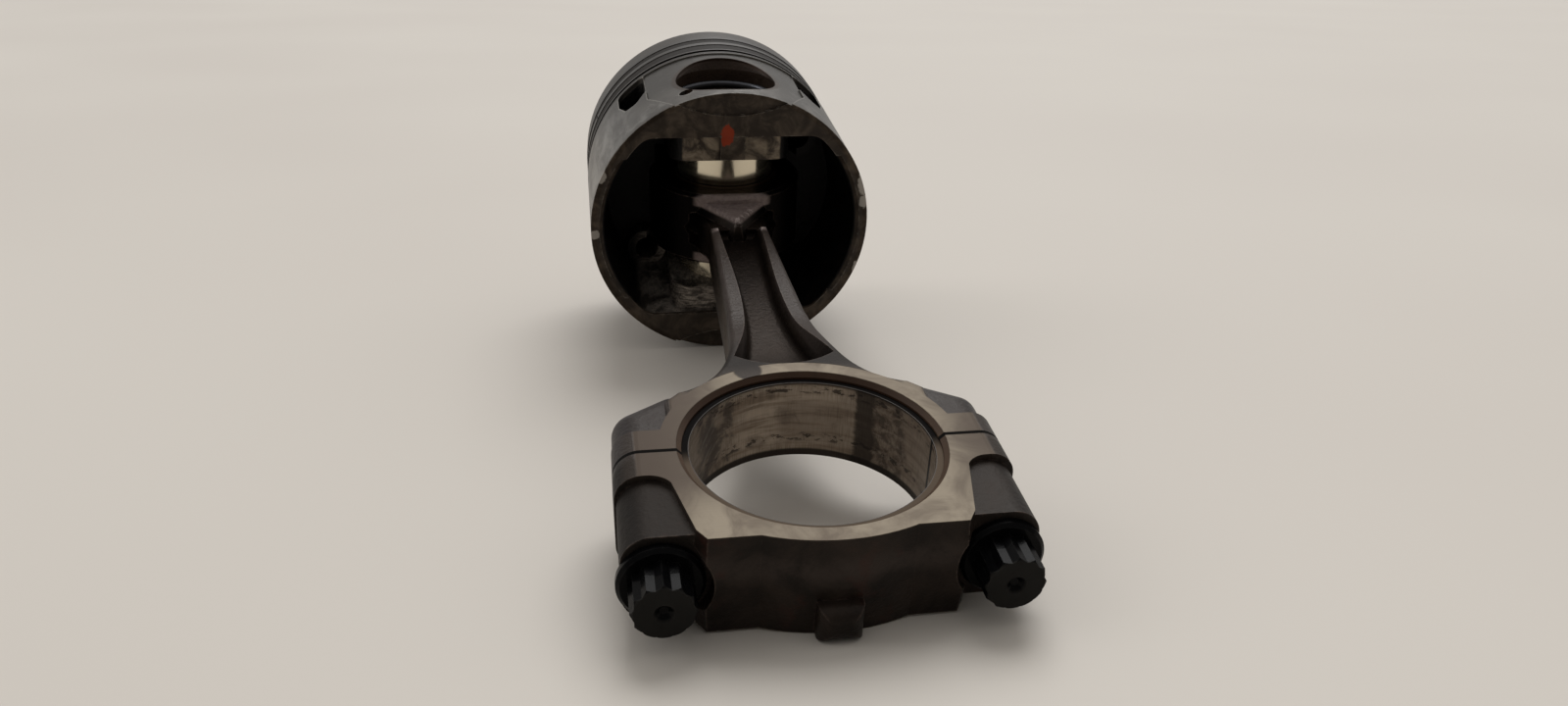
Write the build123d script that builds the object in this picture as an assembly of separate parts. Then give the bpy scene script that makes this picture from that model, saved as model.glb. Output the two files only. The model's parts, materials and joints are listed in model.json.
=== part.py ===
"""Piston and connecting rod of a small diesel engine, lying on its side.

The model is built upright in the engine's own frame: the crank axis is Z, the rod runs
along Y from the big end (y = 0) to the wrist pin, and X is the thrust direction.
The last step tips the whole assembly about the big end, until the skirt's rim and the
cap's lower edge stand on one level surface. All sizes are in millimetres.
"""
import os
from math import atan2, cos, degrees, radians, sin, sqrt, tan

from build123d import *

# Rod, measured between its bores
ROD_CENTRES = 144.0
BIG_END_WIDTH = 21.3
SMALL_END_WIDTH = 21.3

# Big end
JOURNAL_RADIUS = 24.0
SHELL_WALL = 1.4
SHELL_WIDTH = 18.4
HOUSING_CHAMFER = 1.0
FACE_RING_WALL = 4.4
BOLT_SPACING = 62.6
SPLIT_SIDE = 7.3
SPLIT_RISE = 7.0
SPLIT_DROP = 7.7
SPLIT_ROUND = 5.2
PILLAR_SIDE = 7.0
PILLAR_HEIGHT = 18.6
PILLAR_INNER_SIDE = 15.0
PILLAR_TOP = 24.2
PILLAR_SLANT_WIDTH = 11.0
PILLAR_SLANT_DROP = 7.4
PILLAR_ROUND = 5.6
PILLAR_CORNER = 4.0
CAP_WALL = 5.0
CAP_FRONT_HALF_WIDTH = 25.6
CAP_SIDE_SLANT = 12.7
CAP_ARCH_HALF_WIDTH = 14.0
CAP_ARCH_RISE = 2.8
CAP_CORNER_LENGTH = 2.7
CAP_CORNER_WIDTH = 1.7
CAP_DRAFT = 3.0
CAP_POCKET_X = 27.6
CAP_POCKET_ROUND = 5.0
LUG_WIDTH = 8.5
LUG_REACH = 3.6
LUG_HEIGHT = 7.5
LUG_LIFT = 0.6

# Cap screws
SCREW_RADIUS = 4.5
SCREW_WAIST_RADIUS = 3.8
SCREW_WAIST_LENGTH = 14.0
SCREW_ENGAGEMENT = 14.0
SCREW_THREAD_LENGTH = 15.0
SCREW_END_CHAMFER = 0.8
SCREW_SEAT = 24.0
FLANGE_RADIUS = 8.0
FLANGE_THICKNESS = 2.0
FLANGE_EDGE = 0.7
HEAD_LENGTH = 7.1
HEAD_ACROSS_FLATS = 10.2
HEAD_CHAMFER = 0.5
HEAD_DIMPLE_RADIUS = 1.9
HEAD_DIMPLE_DEPTH = 1.0
SPOTFACE_RADIUS = 9.2
SCREW_HOLE_CLEARANCE = 0.2
SCREW_THREAD_CLEARANCE = 0.03
SCREW_HOLE_RUNOUT = 1.0

# Shank, an I section
SHANK_HEIGHT = 15.2
FLARE_START = 34.0
FLARE_END = 58.0
WEB_THICKNESS = 5.0
FLANGE_TIP = 36.0
NECK_THICKNESS = 10.4
NECK_HALF_WIDTH = 12.2
NECK_JOIN = 18.6
SHANK_WIDTH_AT_TIP = 15.4
SHANK_WIDTH_AT_WAIST = 18.7
SHANK_WIDTH_AT_KNEE = 21.4
SHANK_WIDTH_AT_FLARE = 26.0
SHANK_WIDTH_AT_SPREAD = 34.6
WAIST_HEIGHT = 60.0
KNEE_HEIGHT = 44.0
FLARE_HEIGHT = 33.2
SPREAD_HEIGHT = 25.7
ROOT_WIDTH = 54.6
ROOT_FOOT = 13.0
ROOT_SHOULDER = 18.0
ROOT_TOP_INSET = 2.8
ROOT_TOP = 21.0
SHANK_FLANGE_AT_TIP = 2.9
SHANK_FLANGE_AT_WAIST = 5.05
FLANGE_EDGE_ROUND = 1.3
CHANNEL_FOOT_WIDTH = 18.6
CHANNEL_FOOT_BOW = 2.5
CHANNEL_KNEE_WIDTH = 14.4
CHANNEL_KNEE = 7.0
CHANNEL_HEAD = 4.0
CHANNEL_DRAFT = 12.0
CHANNEL_ROUND = 1.6
TIP_RAMP = 3.0

# Small end
EYE_WALL = 6.5
EYE_ROUND = 1.0
BUSH_WALL = 1.6
BUSH_CHAMFER = 0.5
OIL_HOLE_RADIUS = 2.0
PAD_LENGTH = 13.0
PAD_HALF_WIDTH = 13.5
PAD_TIP_HALF_WIDTH = 2.0
PAD_HEIGHT = 17.0
PAD_DRAFT = 18.0
PAD_ROUND = 1.0

# Wrist pin and its clips
PIN_RADIUS = 14.0
PIN_BORE_RADIUS = 7.4
PIN_LENGTH = 62.0
PIN_CHAMFER = 1.0
PIN_CLEARANCE = 0.02
CLIP_WIRE_RADIUS = 1.0
CLIP_SPREAD = 1.3
CLIP_OPENING = 70.0
CLIP_CLEARANCE = 0.05
PIN_END_PLAY = 0.1
NOTCH_RADIUS = 1.9
NOTCH_OUTSET = 2.6
NOTCH_ANGLE = 222.0

# Piston outside
PISTON_RADIUS = 40.0
LAND_RELIEF = 0.3
COMPRESSION_HEIGHT = 44.0
SKIRT_LENGTH = 19.25
CROWN_CHAMFER = 0.6
TOP_LAND = 7.0
TOP_GROOVE = 2.5
SECOND_LAND = 3.7
SECOND_GROOVE = 2.4
THIRD_LAND = 5.0
OIL_GROOVE = 3.6
PIN_MOUTH_EASE = 1.0
PIN_MOUTH_START = 3.5
PIN_MOUTH_DEPTH = 2.0
BOSS_FIELD_HALF_WIDTH = 22.5
BOSS_FIELD_KNEE = 3.0
BOSS_FIELD_FOOT = 15.7
BOSS_FIELD_RELIEF = 0.45
POCKET_LAND = 1.2
POCKET_WIDTH = 7.6
POCKET_LENGTH = 18.8
POCKET_ROUND = 1.6
RIM_SCALLOP_RADIUS = 36.0
RIM_SCALLOP_WALL = 6.7
RIM_SCALLOP_DEPTH = 0.8

# Piston inside
SKIRT_WALL = 3.6
SKIRT_DRAFT = 3.0
RIM_CHAMFER = 1.2
CAVITY_DEPTH = 33.0
PANEL_RIM_WALL = 12.7
PANEL_SLOPE = 11.0
PANEL_WALL = 3.0
CAVITY_CORNER = 6.0
BOSS_HALF_WIDTH = 16.8
BOSS_CORNER = 6.0
BOSS_UNDERSIDE = 17.0
BOSS_PLAY = 5.75
TONGUE_HALF_WIDTH = 3.4
TONGUE_RECESS = 0.3
EYE_HEADROOM = 1.8
GALLERY_BOSS_RADIUS = 5.8
GALLERY_BOSS_DROP = 7.0
GALLERY_BOSS_ANGLE = 37.5
GALLERY_BOSS_INSET = 1.1
GALLERY_HOLE_RADIUS = 3.5
GALLERY_WALL = 3.3
GALLERY_WIDTH = 5.6
GALLERY_HEIGHT = 9.0
GALLERY_BASE = 25.0

# Combustion bowl
BOWL_LIP_RADIUS = 20.0
BOWL_RADIUS = 22.0
BOWL_DEPTH = 12.5
BOWL_LIP_HEIGHT = 3.0
BOWL_CONE_HEIGHT = 7.0

# Piston rings
RING_WALL = 3.3
RING_INSET = 0.1
RING_SIDE_CLEARANCE = 0.05
RING_BACK_CLEARANCE = 0.5
RING_GAP = 0.6
OIL_RING_WALL = 2.4
OIL_RING_LIP = 0.5
OIL_RING_SLOT = 1.0
OIL_RING_SLOTS = 10
OIL_RING_SLOT_LENGTH = 14.0
EXPANDER_WIRE = 1.0
EXPANDER_CLEARANCE = 0.05

SEAT_CLEARANCE = 0.02
OVERRUN = 1.0

# Sizes that follow from the ones above
half_big = BIG_END_WIDTH / 2
half_small = SMALL_END_WIDTH / 2
housing_radius = JOURNAL_RADIUS + SHELL_WALL + SEAT_CLEARANCE
screw_x = BOLT_SPACING / 2
split_x = screw_x + SPLIT_SIDE
pillar_x = screw_x + PILLAR_SIDE
bush_bore_radius = PIN_RADIUS + PIN_CLEARANCE
bush_radius = bush_bore_radius + BUSH_WALL
eye_bore_radius = bush_radius + SEAT_CLEARANCE
eye_radius = eye_bore_radius + EYE_WALL
pin_hole_radius = PIN_RADIUS + PIN_CLEARANCE
clip_z = PIN_LENGTH / 2 + PIN_END_PLAY + CLIP_WIRE_RADIUS
clip_groove_radius = pin_hole_radius + CLIP_SPREAD
cavity_radius = PISTON_RADIUS - SKIRT_WALL
panel_half_gap = PISTON_RADIUS - PANEL_RIM_WALL
boss_half_gap = half_small + BOSS_PLAY
cap_front = housing_radius + CAP_WALL
ceiling = CAVITY_DEPTH - SKIRT_LENGTH
top_groove_base = COMPRESSION_HEIGHT - TOP_LAND - TOP_GROOVE
second_groove_base = top_groove_base - SECOND_LAND - SECOND_GROOVE
oil_groove_base = second_groove_base - THIRD_LAND - OIL_GROOVE
ring_radius = PISTON_RADIUS - RING_INSET
ring_root_radius = ring_radius - RING_WALL - RING_BACK_CLEARANCE
expander_radius = ring_radius - OIL_RING_WALL - EXPANDER_WIRE * 0.6
oil_root_radius = expander_radius - EXPANDER_WIRE - RING_BACK_CLEARANCE
gallery_radius = ring_root_radius - GALLERY_WALL - GALLERY_WIDTH / 2
gallery_boss_x = (gallery_radius - GALLERY_BOSS_INSET) * cos(radians(GALLERY_BOSS_ANGLE))
gallery_boss_z = (gallery_radius - GALLERY_BOSS_INSET) * sin(radians(GALLERY_BOSS_ANGLE))

# Ways a flat outline faces: along the rod, and across it
FACING_Y = Plane(origin=(0, 0, 0), x_dir=(1, 0, 0), z_dir=(0, 1, 0))
FACING_X = Plane(origin=(0, 0, 0), x_dir=(0, 1, 0), z_dir=(1, 0, 0))


def rod_along_y(radius, low, high, x=0.0, z=0.0):
    """A round bar along Y between two heights."""
    return Pos(x, (low + high) / 2, z) * Rot(X=90) * Cylinder(radius, high - low)


def rod_along_z(radius, low, high, x=0.0, y=0.0):
    """A round bar along Z between two levels."""
    return Pos(x, y, (low + high) / 2) * Cylinder(radius, high - low)


def block(x, y, z):
    """A box given by its lowest and highest values along each axis."""
    middle = Pos((x[0] + x[1]) / 2, (y[0] + y[1]) / 2, (z[0] + z[1]) / 2)
    return middle * Box(x[1] - x[0], y[1] - y[0], z[1] - z[0])


def turned(points):
    """A solid of revolution about the piston's axis, from radius and height pairs."""
    outline = Polyline(*points, close=True)
    return revolve(make_face(outline), Axis.Y)


def wedge(half_gap, slope, low, high, half_length):
    """A keystone about the mid-plane, narrower towards the crown.

    half_gap is its half thickness level with the pin.
    """
    fall = tan(radians(slope))
    wide = half_gap - low * fall
    narrow = half_gap - high * fall
    outline = Polyline((low, -wide), (high, -narrow), (high, narrow), (low, wide), close=True)
    return extrude(FACING_X * make_face(outline), half_length, both=True)


def screw_pillar(side):
    """The forged column round one cap screw, cut off slanting beside the shank."""
    inner = screw_x - PILLAR_INNER_SIDE
    plan = Polyline(
        (inner, -SCREW_SEAT),
        (pillar_x, -SCREW_SEAT),
        (pillar_x, PILLAR_TOP - PILLAR_SLANT_DROP),
        (pillar_x - PILLAR_SLANT_WIDTH, PILLAR_TOP),
        (inner, PILLAR_TOP),
        close=True,
    )
    column = extrude(make_face(plan), PILLAR_HEIGHT / 2, both=True)
    uprights = column.edges().filter_by(Axis.Z)
    bends = [edge for edge in uprights if edge.center().X > inner and edge.center().Y > 0]
    column = fillet(bends, PILLAR_CORNER)
    flats = column.faces().filter_by(Axis.Z)
    rims = [edge for face in flats for edge in face.edges() if rim_is_free(edge.center(), inner)]
    column = fillet(rims, PILLAR_ROUND)
    return column if side > 0 else mirror(column, Plane.YZ)


def rim_is_free(point, inner):
    """Whether an edge of a pillar's flat is neither at the screw seat nor inside the rod."""
    return point.X > inner + OVERRUN and point.Y > OVERRUN - SCREW_SEAT


def big_end_blank():
    """The forged big end in one piece, before it is split, without its front wall."""
    ring = rod_along_z(housing_radius + FACE_RING_WALL, -half_big, half_big)
    waist = block((-split_x, split_x), (-SPLIT_DROP, SPLIT_RISE), (-half_big, half_big))
    waist = fillet(waist.edges().filter_by(Axis.Y), SPLIT_ROUND)
    return ring + waist + screw_pillar(-1) + screw_pillar(1)


def cap_pocket_corner(side):
    """The round corner of the machined face, between the split and the front wall."""
    x = CAP_POCKET_X
    y = -SPLIT_DROP
    size = CAP_POCKET_ROUND
    corner = block((x - OVERRUN, x + size), (y - size, y + OVERRUN), (-half_big, half_big))
    corner -= rod_along_z(size, -half_big, half_big, x=x + size, y=y - size)
    return corner if side > 0 else mirror(corner, Plane.YZ)


def cap_front_wall():
    """The forged wall across the cap: a shallow arch between two flat lands."""
    half = [cap_wall_outline(0), cap_wall_outline(half_big)]
    upper = loft(half)
    return upper + mirror(upper, Plane.XY)


def cap_wall_outline(level):
    """The cap's front wall in plan at one height, drawn in by the forging draft."""
    back = level * tan(radians(CAP_DRAFT))
    land = CAP_ARCH_RISE - cap_front + back
    outer = CAP_FRONT_HALF_WIDTH - back
    side_length = -land - CAP_CORNER_LENGTH
    root = outer + side_length * tan(radians(CAP_SIDE_SLANT))
    outline = Polyline(
        (-CAP_ARCH_HALF_WIDTH, land),
        (CAP_CORNER_WIDTH - outer, land),
        (-outer, land + CAP_CORNER_LENGTH),
        (-root, 0),
        (root, 0),
        (outer, land + CAP_CORNER_LENGTH),
        (outer - CAP_CORNER_WIDTH, land),
        (CAP_ARCH_HALF_WIDTH, land),
    )
    arch = ThreePointArc(outline @ 0, (0, land - CAP_ARCH_RISE), outline @ 1)
    return Pos(0, 0, level) * make_face([outline, arch])


def forging_lug():
    """The rounded lug low on the cap's front."""
    foot = LUG_LIFT - half_big
    lug = block(
        (-LUG_WIDTH / 2, LUG_WIDTH / 2),
        (-cap_front - LUG_REACH, -housing_radius - HOUSING_CHAMFER - OVERRUN),
        (foot, foot + LUG_HEIGHT),
    )
    front_edges = lug.faces().sort_by(Axis.Y)[0].edges()
    return fillet(front_edges, LUG_REACH * 0.8)


def bore_tool():
    """What the boring bar takes out of the big end, with its chamfers."""
    reach = half_big + OVERRUN
    bore = rod_along_z(housing_radius, -reach, reach)
    mouth = housing_radius + HOUSING_CHAMFER
    cone = Cone(housing_radius, mouth + OVERRUN, HOUSING_CHAMFER + OVERRUN)
    for side in (-1, 1):
        turn = 0 if side > 0 else 180
        level = side * (half_big + (OVERRUN - HOUSING_CHAMFER) / 2)
        bore += Pos(0, 0, level) * Rot(X=turn) * cone
    return bore


def shank_outline():
    """The shank's outline in plan, flared into the big end and the eye."""
    waist = (SHANK_WIDTH_AT_WAIST / 2, WAIST_HEIGHT)
    tip = (SHANK_WIDTH_AT_TIP / 2, ROD_CENTRES - FLANGE_TIP)
    taper = (tip[0] - waist[0], tip[1] - waist[1])
    flare = Spline(
        (ROOT_WIDTH / 2 - ROOT_TOP_INSET, ROOT_TOP),
        (SHANK_WIDTH_AT_SPREAD / 2, SPREAD_HEIGHT),
        (SHANK_WIDTH_AT_FLARE / 2, FLARE_HEIGHT),
        (SHANK_WIDTH_AT_KNEE / 2, KNEE_HEIGHT),
        waist,
    )
    stem = Line(waist, tip)
    neck = TangentArc(tip, (NECK_HALF_WIDTH, ROD_CENTRES - NECK_JOIN), tangent=taper)
    root = Polyline(
        (ROOT_WIDTH / 2, ROOT_FOOT),
        (ROOT_WIDTH / 2, ROOT_SHOULDER),
        (ROOT_WIDTH / 2 - ROOT_TOP_INSET, ROOT_TOP),
    )
    right = [root, flare, stem, neck]
    left = [mirror(line, Plane.YZ) for line in right]
    foot = Line(root @ 0, left[0] @ 0)
    head = Line(neck @ 1, left[-1] @ 1)
    return make_face(right + left + [foot, head])


def channel_outline(level):
    """The channel between the flanges at one height, wider towards the open face."""
    tip = ROD_CENTRES - FLANGE_TIP
    spread = (level - WEB_THICKNESS / 2) * tan(radians(CHANNEL_DRAFT))
    right = Spline(
        (CHANNEL_FOOT_WIDTH / 2 + spread, FLARE_START),
        (CHANNEL_KNEE_WIDTH / 2 + spread, FLARE_START + CHANNEL_KNEE),
        (SHANK_WIDTH_AT_WAIST / 2 - SHANK_FLANGE_AT_WAIST + spread, WAIST_HEIGHT),
        (SHANK_WIDTH_AT_TIP / 2 - SHANK_FLANGE_AT_TIP + spread, tip + CHANNEL_HEAD),
    )
    left = mirror(right, Plane.YZ)
    foot = ThreePointArc(right @ 0, (0, FLARE_START - CHANNEL_FOOT_BOW - spread), left @ 0)
    head = Line(right @ 1, left @ 1)
    return Pos(0, 0, level) * make_face([right, head, left, foot])


def shank_side():
    """The shank seen from the side: it rises to the big end and drops at the flange tips."""
    tip = ROD_CENTRES - FLANGE_TIP
    low = SHANK_HEIGHT / 2
    neck = NECK_THICKNESS / 2
    root = Line((0, half_big), (FLARE_START, half_big))
    rise = Spline(root @ 1, (FLARE_END, low), tangents=((1, 0), (1, 0)))
    front = Polyline(rise @ 1, (tip, low), (tip + TIP_RAMP, neck), (ROD_CENTRES, neck))
    upper = [root, rise, front]
    lower = [mirror(line, Plane.XZ) for line in upper]
    foot = Line(root @ 0, lower[0] @ 0)
    head = Line(front @ 1, lower[-1] @ 1)
    return extrude(FACING_X * make_face(upper + lower + [foot, head]), ROOT_WIDTH, both=True)


def channel_tool():
    """What the forging die leaves out between the flanges, on one face."""
    floor = WEB_THICKNESS / 2
    top = half_big + OVERRUN
    tool = loft([channel_outline(floor), channel_outline(top)])
    return fillet(tool.faces().sort_by(Axis.Z)[0].edges(), CHANNEL_ROUND)


def shank():
    """The I-section shank."""
    tall = extrude(shank_outline(), BIG_END_WIDTH, both=True)
    body = tall & shank_side()
    rounded = body.faces().filter_by(Axis.X, reverse=True)
    tops = [face for face in rounded if abs(face.normal_at().Z) > 0.9]
    edges = [edge for face in tops for edge in face.edges() if abs(edge.tangent_at(0.5).X) < 0.8]
    body = fillet(edges, FLANGE_EDGE_ROUND)
    tool = channel_tool()
    return body - tool - mirror(tool, Plane.XY)


def neck_pad():
    """The raised triangle that carries the eye's face down on to the shank."""
    base = ROD_CENTRES - eye_radius * 0.8
    point = ROD_CENTRES - eye_radius - PAD_LENGTH
    outline = Polyline(
        (-PAD_HALF_WIDTH, base),
        (-PAD_TIP_HALF_WIDTH, point),
        (PAD_TIP_HALF_WIDTH, point),
        (PAD_HALF_WIDTH, base),
        close=True,
    )
    upper = extrude(make_face(outline), PAD_HEIGHT / 2, taper=PAD_DRAFT)
    upper = fillet(upper.faces().sort_by(Axis.Z)[-1].edges(), PAD_ROUND)
    return upper + mirror(upper, Plane.XY)


def eye():
    """The small end's ring."""
    ring = rod_along_z(eye_radius, -half_small, half_small, y=ROD_CENTRES)
    return chamfer(ring.edges().filter_by(GeomType.CIRCLE), EYE_ROUND)


def screw_holes(radius, low, high):
    """A pair of round holes along the two cap screws."""
    left = rod_along_y(radius, low, high, x=-screw_x)
    return left + rod_along_y(radius, low, high, x=screw_x)


def upper_half():
    """The space on the rod's side of the split."""
    reach = ROD_CENTRES * 2
    return block((-reach, reach), (0, reach), (-reach, reach))


def make_connecting_rod():
    """The rod: half of the big end, the shank and the small end."""
    body = (big_end_blank() & upper_half()) + shank() + neck_pad() + eye()
    body -= bore_tool()
    reach = half_small + OVERRUN
    body -= rod_along_z(eye_bore_radius, -reach, reach, y=ROD_CENTRES)
    thread = SCREW_RADIUS + SCREW_THREAD_CLEARANCE
    body -= screw_holes(thread, -OVERRUN, SCREW_ENGAGEMENT + SCREW_HOLE_RUNOUT)
    body -= rod_along_y(OIL_HOLE_RADIUS, ROD_CENTRES + PIN_RADIUS, ROD_CENTRES + eye_radius + OVERRUN)
    return body


def make_rod_cap():
    """The cap that closes the big end round the crankpin."""
    body = (big_end_blank() - upper_half()) + cap_front_wall() + forging_lug()
    body += cap_pocket_corner(-1) + cap_pocket_corner(1)
    body -= bore_tool()
    for side in (-1, 1):
        body -= rod_along_y(SPOTFACE_RADIUS, -cap_front * 2, -SCREW_SEAT, x=side * screw_x)
    body -= screw_holes(SCREW_RADIUS + SCREW_HOLE_CLEARANCE, -SCREW_SEAT - OVERRUN, OVERRUN)
    return body


def make_bearing_shell(side):
    """Half of the plain bearing."""
    outer = rod_along_z(JOURNAL_RADIUS + SHELL_WALL, -SHELL_WIDTH / 2, SHELL_WIDTH / 2)
    bore = rod_along_z(JOURNAL_RADIUS, -SHELL_WIDTH, SHELL_WIDTH)
    kept = upper_half() if side > 0 else mirror(upper_half(), Plane.XZ)
    return (outer - bore) & kept


def make_rod_bolt(side):
    """A twelve-point flange screw with a slim waist."""
    seat = -SCREW_SEAT
    flange_face = seat - FLANGE_THICKNESS
    head_end = flange_face - HEAD_LENGTH
    waist_top = SCREW_ENGAGEMENT - SCREW_THREAD_LENGTH
    screw = rod_along_y(SCREW_RADIUS, seat, waist_top - SCREW_WAIST_LENGTH)
    screw += rod_along_y(SCREW_WAIST_RADIUS, waist_top - SCREW_WAIST_LENGTH, waist_top)
    thread = rod_along_y(SCREW_RADIUS, waist_top, SCREW_ENGAGEMENT)
    screw += chamfer(thread.edges().filter_by(GeomType.CIRCLE), SCREW_END_CHAMFER)
    flange = rod_along_y(FLANGE_RADIUS, flange_face, seat)
    screw += chamfer(flange.edges().group_by(Axis.Y)[0], FLANGE_EDGE)
    hexagon = RegularPolygon(HEAD_ACROSS_FLATS / 2, 6, major_radius=False)
    star = hexagon + Rot(Z=30) * hexagon
    head = Pos(0, head_end, 0) * extrude(FACING_Y * star, HEAD_LENGTH)
    corner = HEAD_ACROSS_FLATS / sqrt(3)
    blunt = rod_along_y(corner, head_end, flange_face)
    head = head & chamfer(blunt.edges().group_by(Axis.Y)[0], HEAD_CHAMFER)
    dimple = Cone(HEAD_DIMPLE_RADIUS, HEAD_DIMPLE_RADIUS * 0.4, HEAD_DIMPLE_DEPTH)
    head -= Pos(0, head_end + HEAD_DIMPLE_DEPTH / 2, 0) * Rot(X=-90) * dimple
    return Pos(side * screw_x, 0, 0) * (screw + head)


def make_small_end_bush():
    """The bush pressed into the eye."""
    bush = rod_along_z(bush_radius, -half_small, half_small)
    bush -= rod_along_z(bush_bore_radius, -BIG_END_WIDTH, BIG_END_WIDTH)
    inner = bush.edges().filter_by(GeomType.CIRCLE).sort_by(SortBy.RADIUS)[:2]
    bush = Pos(0, ROD_CENTRES, 0) * chamfer(inner, BUSH_CHAMFER)
    return bush - rod_along_y(OIL_HOLE_RADIUS, ROD_CENTRES, ROD_CENTRES + eye_radius)


def piston_blank():
    """The turned outside of the piston with its three grooves."""
    skirt_top = oil_groove_base
    blank = rod_along_y(PISTON_RADIUS, -SKIRT_LENGTH, skirt_top)
    belt = rod_along_y(PISTON_RADIUS - LAND_RELIEF, skirt_top, COMPRESSION_HEIGHT)
    blank += chamfer(belt.edges().group_by(Axis.Y)[-1], CROWN_CHAMFER)
    grooves = (
        (top_groove_base, TOP_GROOVE, ring_root_radius),
        (second_groove_base, SECOND_GROOVE, ring_root_radius),
        (oil_groove_base, OIL_GROOVE, oil_root_radius),
    )
    for base, width, root in grooves:
        groove = rod_along_y(PISTON_RADIUS + OVERRUN, base, base + width)
        blank -= groove - rod_along_y(root, base, base + width)
    return blank


def bowl_tool():
    """The combustion bowl, with its overhanging lip and the cone in its middle."""
    top = COMPRESSION_HEIGHT
    lip = Polyline(
        (0, top - BOWL_CONE_HEIGHT),
        (0, top + OVERRUN),
        (BOWL_LIP_RADIUS, top + OVERRUN),
        (BOWL_LIP_RADIUS, top - BOWL_LIP_HEIGHT * 0.5),
        (BOWL_RADIUS, top - BOWL_LIP_HEIGHT * 1.5),
    )
    low = (BOWL_RADIUS * 0.6, top - BOWL_DEPTH)
    belly = TangentArc(lip @ 1, low, tangent=(0.3, -1))
    cone = Line(low, lip @ 0)
    return revolve(make_face([lip, belly, cone]), Axis.Y)


def panel_gap():
    """Half the gap between the two side panels, level with the pin."""
    return panel_half_gap - SKIRT_LENGTH * tan(radians(PANEL_SLOPE))


def boss_block(side):
    """One pin boss inside the piston, before its inner face is trimmed."""
    plan = Polyline(
        (-BOSS_HALF_WIDTH, -BOSS_UNDERSIDE),
        (BOSS_HALF_WIDTH, -BOSS_UNDERSIDE),
        (BOSS_HALF_WIDTH, CAVITY_DEPTH),
        (-BOSS_HALF_WIDTH, CAVITY_DEPTH),
        close=True,
    )
    boss = extrude(make_face(plan), side * PISTON_RADIUS)
    low_corners = boss.edges().filter_by(Axis.Z).group_by(Axis.Y)[0]
    boss = fillet(low_corners, BOSS_CORNER)
    underside = -SKIRT_LENGTH + TONGUE_RECESS
    tongue_root = boss_half_gap + SKIRT_LENGTH * tan(radians(PANEL_SLOPE))
    near = side * (tongue_root + TONGUE_RECESS)
    far = side * PISTON_RADIUS
    tongue = block(
        (-TONGUE_HALF_WIDTH, TONGUE_HALF_WIDTH),
        (underside, -BOSS_UNDERSIDE + OVERRUN),
        (min(near, far), max(near, far)),
    )
    return boss + tongue


def gallery_bosses():
    """The raised collars round the oil inlet and outlet, one by each thrust side."""
    low = ceiling - GALLERY_BOSS_DROP
    collars = Part()
    for side in (-1, 1):
        x = side * gallery_boss_x
        z = side * gallery_boss_z
        column = Pos(x, (low + CAVITY_DEPTH) / 2, z) * Rot(X=90)
        collars += column * Cylinder(GALLERY_BOSS_RADIUS, CAVITY_DEPTH - low)
    return collars


def cavity_tool():
    """The cast hollow: between the skirt's walls, beside the bosses and round the eye."""
    mouth = Pos(0, -SKIRT_LENGTH, 0) * (FACING_Y * Circle(cavity_radius))
    bell = extrude(mouth, CAVITY_DEPTH, taper=SKIRT_DRAFT)
    panels = wedge(panel_gap(), PANEL_SLOPE, -SKIRT_LENGTH, ceiling, PISTON_RADIUS)
    hollow = bell & panels
    corners = [edge for edge in hollow.edges() if edge.length > CAVITY_DEPTH * 0.9]
    uprights = [edge for edge in corners if abs(edge.tangent_at(0.5).Y) > 0.9]
    hollow = fillet(uprights, CAVITY_CORNER)
    flare = Cone(cavity_radius, cavity_radius + RIM_CHAMFER, RIM_CHAMFER)
    flare = Pos(0, RIM_CHAMFER / 2 - SKIRT_LENGTH, 0) * Rot(X=90) * flare
    hollow += flare & block(
        (-PISTON_RADIUS, PISTON_RADIUS),
        (-SKIRT_LENGTH, SKIRT_LENGTH),
        (CAVITY_CORNER - panel_half_gap, panel_half_gap - CAVITY_CORNER),
    )
    bosses = boss_block(-1) + boss_block(1)
    between = wedge(boss_half_gap, PANEL_SLOPE, -SKIRT_LENGTH, CAVITY_DEPTH, PISTON_RADIUS)
    hollow -= bosses - between
    hollow -= gallery_bosses()
    eye_room = rod_along_z(eye_radius + EYE_HEADROOM, -PISTON_RADIUS, PISTON_RADIUS)
    return hollow + (eye_room & between)


def gallery_tool():
    """The ring-shaped oil gallery behind the grooves, with its two holes."""
    gallery = turned([
        (gallery_radius - GALLERY_WIDTH / 2, GALLERY_BASE),
        (gallery_radius + GALLERY_WIDTH / 2, GALLERY_BASE),
        (gallery_radius + GALLERY_WIDTH / 2, GALLERY_BASE + GALLERY_HEIGHT),
        (gallery_radius - GALLERY_WIDTH / 2, GALLERY_BASE + GALLERY_HEIGHT),
    ])
    ends = gallery.edges().filter_by(GeomType.CIRCLE)
    gallery = fillet(ends, GALLERY_WIDTH * 0.4)
    for side in (-1, 1):
        x = side * gallery_boss_x
        z = side * gallery_boss_z
        gallery += rod_along_y(GALLERY_HOLE_RADIUS, 0, GALLERY_BASE + GALLERY_WIDTH, x=x, z=z)
    return gallery


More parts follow.
